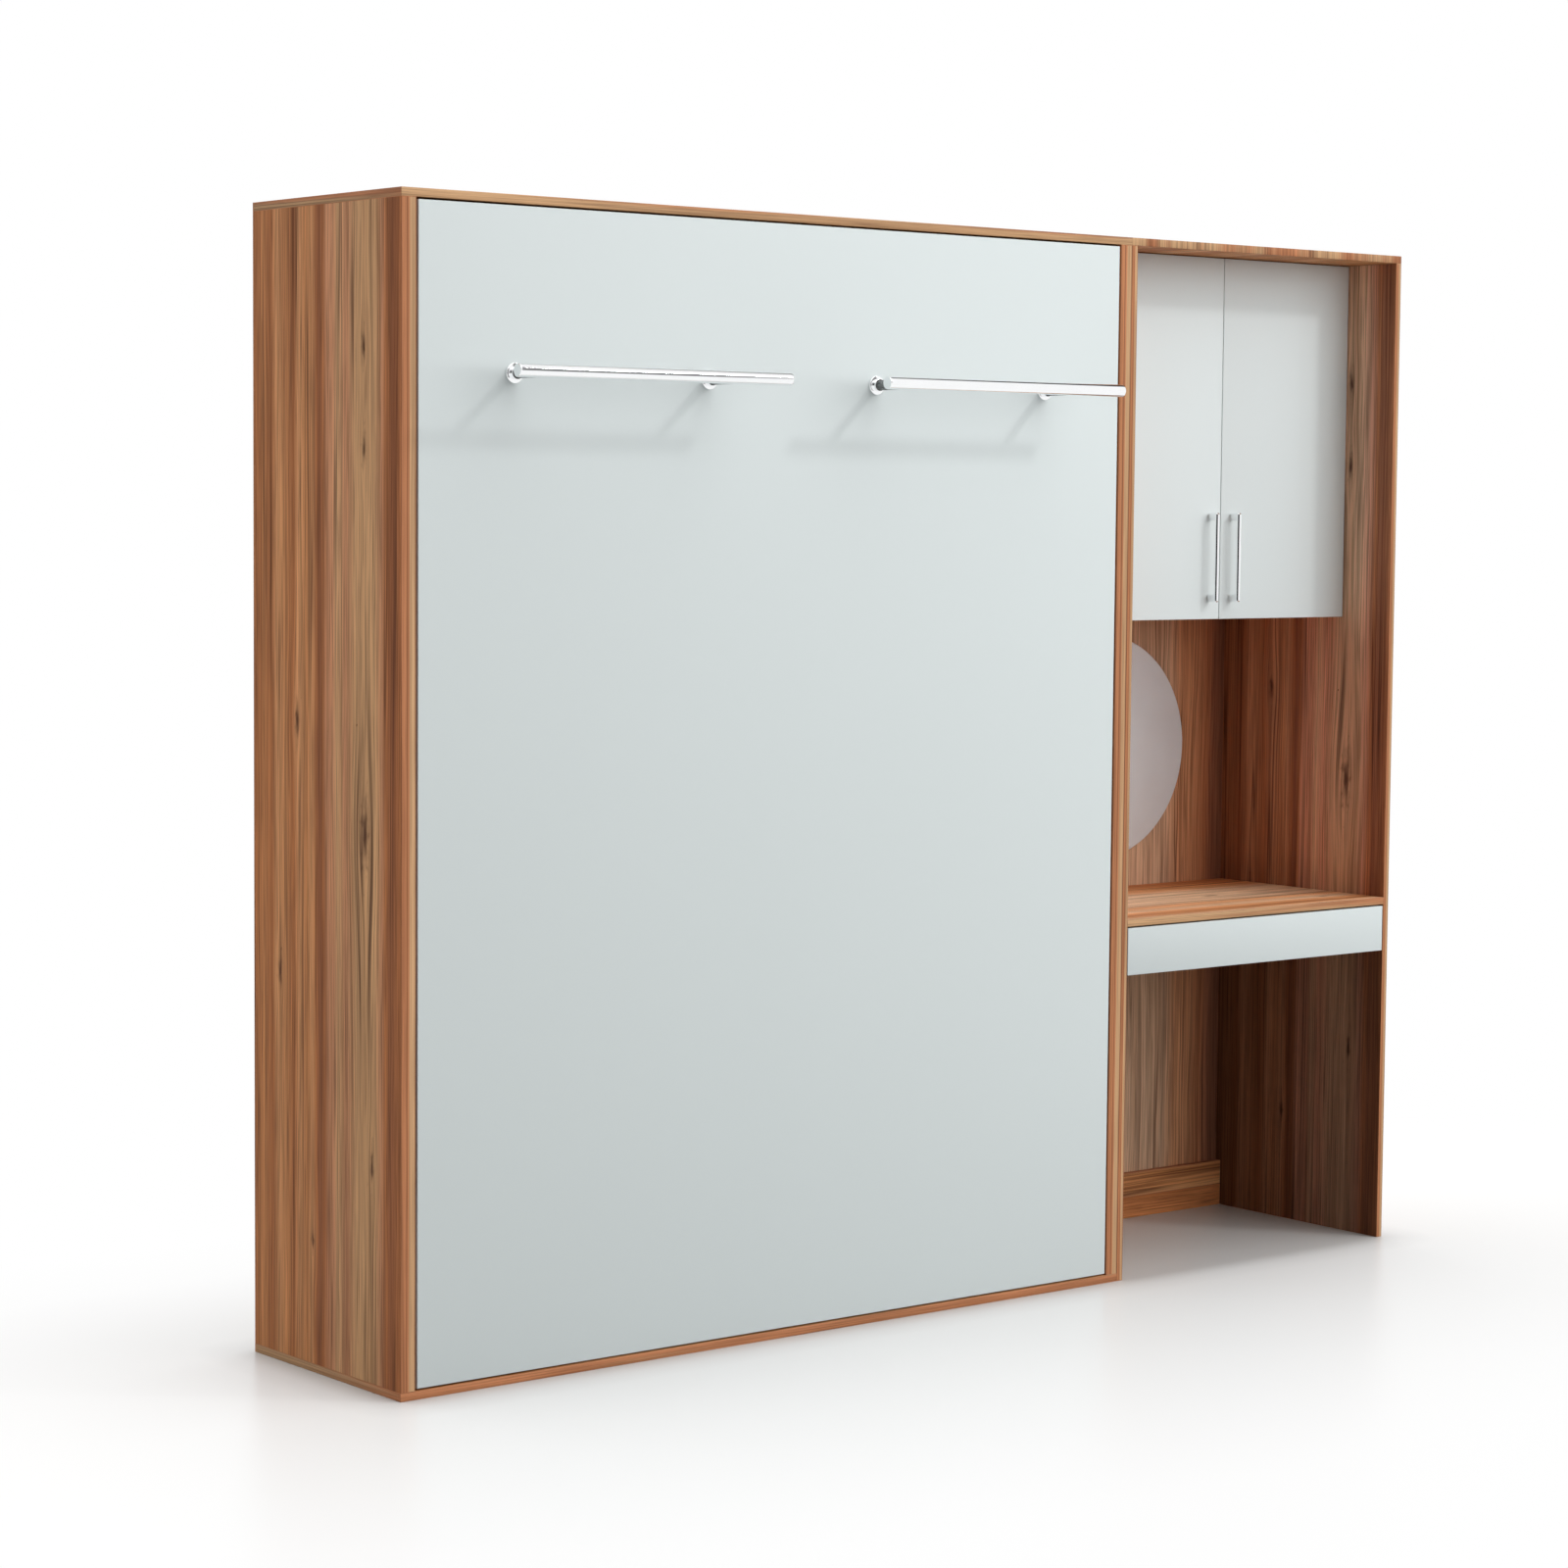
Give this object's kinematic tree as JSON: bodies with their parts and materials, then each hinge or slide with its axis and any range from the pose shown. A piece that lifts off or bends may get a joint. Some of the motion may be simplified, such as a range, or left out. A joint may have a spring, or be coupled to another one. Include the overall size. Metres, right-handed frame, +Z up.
{
  "type": "wall bed",
  "caption": "Upright cabinet whose white front panel folds down as a bed on its pull bars, beside a dressing table with cupboard, round mirror and drawer.",
  "frame": {"origin": "on the floor, in the middle of the floor area that the closed object covers with its bars", "axes": "+X from the bed cabinet towards the dressing table, to the right as seen from the front; +Y back towards the wall; +Z up"},
  "size_m": [2.63, 0.664, 2.2],
  "materials": {
    "walnut_board": "satin",
    "white_lacquer": "satin",
    "walnut_sheet": "satin",
    "beech": "matte",
    "birch": "satin",
    "backing_board": "matte",
    "chrome": "polished",
    "mirror_glass": "polished",
    "frame_paint": "matte",
    "strut_paint": "satin",
    "zinc_steel": "satin",
    "bright_steel": "polished",
    "bronze": "satin",
    "black_plastic": "matte",
    "black_rubber": "matte",
    "mattress_cloth": "matte",
    "webbing": "matte"
  },
  "bodies": {
    "cabinet": {"bed_top": "walnut_board", "bed_bottom": "walnut_board", "bed_side_left": "walnut_board", "bed_side_right": "walnut_board", "bed_back": "walnut_sheet", "bed_wall_rail": "walnut_board", "bed_low_rail": "walnut_board", "panel_stops": "walnut_board", "rubber_bumpers": "black_rubber", "pivot_plates": "zinc_steel", "pivot_pins": "bright_steel", "upper_studs": "bright_steel", "side_screws": "zinc_steel", "dowels": "beech", "table_side_left": "walnut_board", "table_side_right": "walnut_board", "table_top": "walnut_board", "table_back": "walnut_sheet", "table_wall_rail": "walnut_board", "desk_board": "walnut_board", "cupboard_floor": "walnut_board", "cupboard_shelf": "walnut_board", "shelf_pins": "bright_steel", "plinth_boards": "walnut_board", "mirror_backing": "backing_board", "mirror_glass": "mirror_glass", "hinge_arms": "bright_steel", "runner_outers": "zinc_steel"},
    "bed": {"front_panel": "white_lacquer", "panel_bolts": "zinc_steel", "bar_tube_left": "chrome", "bar_tube_right": "chrome", "bar_posts": "chrome", "bar_flanges": "chrome", "bar_end_caps": "chrome", "frame_rail_left": "frame_paint", "frame_rail_right": "frame_paint", "frame_cross_rails": "frame_paint", "frame_beam": "frame_paint", "slats": "birch", "slat_holders": "black_plastic", "lever_plates": "frame_paint", "lower_studs": "bright_steel", "pivot_bushes": "bronze", "mattress": "mattress_cloth", "straps": "webbing", "strap_buckles": "black_plastic"},
    "strut_cylinders": {"strut_cylinders": "strut_paint"},
    "strut_rods": {"strut_rods": "bright_steel"},
    "door_left": {"door_left": "white_lacquer", "door_handle_left": "chrome", "hinge_cups_left": "bright_steel"},
    "door_right": {"door_right": "white_lacquer", "door_handle_right": "chrome", "hinge_cups_right": "bright_steel"},
    "drawer": {"drawer_front": "white_lacquer", "drawer_box": "birch", "drawer_bottom": "birch", "runner_inners": "zinc_steel"},
    "runner_middles": {"runner_middles": "zinc_steel"}
  },
  "joints": [
    {"name": "bed_fold", "type": "hinge", "parent": "cabinet", "child": "bed", "pos_m": [-0.413, -0.152, 0.18], "axis": [1, 0, 0], "range_deg": [0, 90], "stiffness_Nm_per_rad": 400},
    {"name": "strut_cylinder_swing", "type": "hinge", "parent": "cabinet", "child": "strut_cylinders", "pos_m": [-0.413, -0.152, 0.34], "axis": [1, 0, 0], "range_deg": [0, 45]},
    {"name": "strut_rod_swing", "type": "hinge", "parent": "bed", "child": "strut_rods", "pos_m": [-0.413, -0.10256, 0.02783], "axis": [1, 0, 0], "range_deg": [-45, 0]},
    {"name": "door_left_swing", "type": "hinge", "parent": "cabinet", "child": "door_left", "pos_m": [0.507, -0.043, 1.7895], "axis": [0, 0, -1], "range_deg": [0, 90]},
    {"name": "door_right_swing", "type": "hinge", "parent": "cabinet", "child": "door_right", "pos_m": [1.297, -0.043, 1.7895], "axis": [0, 0, 1], "range_deg": [0, 90]},
    {"name": "drawer_slide", "type": "slide", "parent": "cabinet", "child": "drawer", "axis": [0, -1, 0], "range_m": [0, 0.36]},
    {"name": "runner_slide", "type": "slide", "parent": "cabinet", "child": "runner_middles", "axis": [0, -1, 0], "range_m": [0, 0.18]}
  ],
  "couplings": [
    {"joint": "strut_cylinder_swing", "follows": "bed_fold", "ratio": 0.5},
    {"joint": "strut_rod_swing", "follows": "bed_fold", "ratio": -0.5},
    {"joint": "runner_slide", "follows": "drawer_slide", "ratio": 0.5}
  ]
}
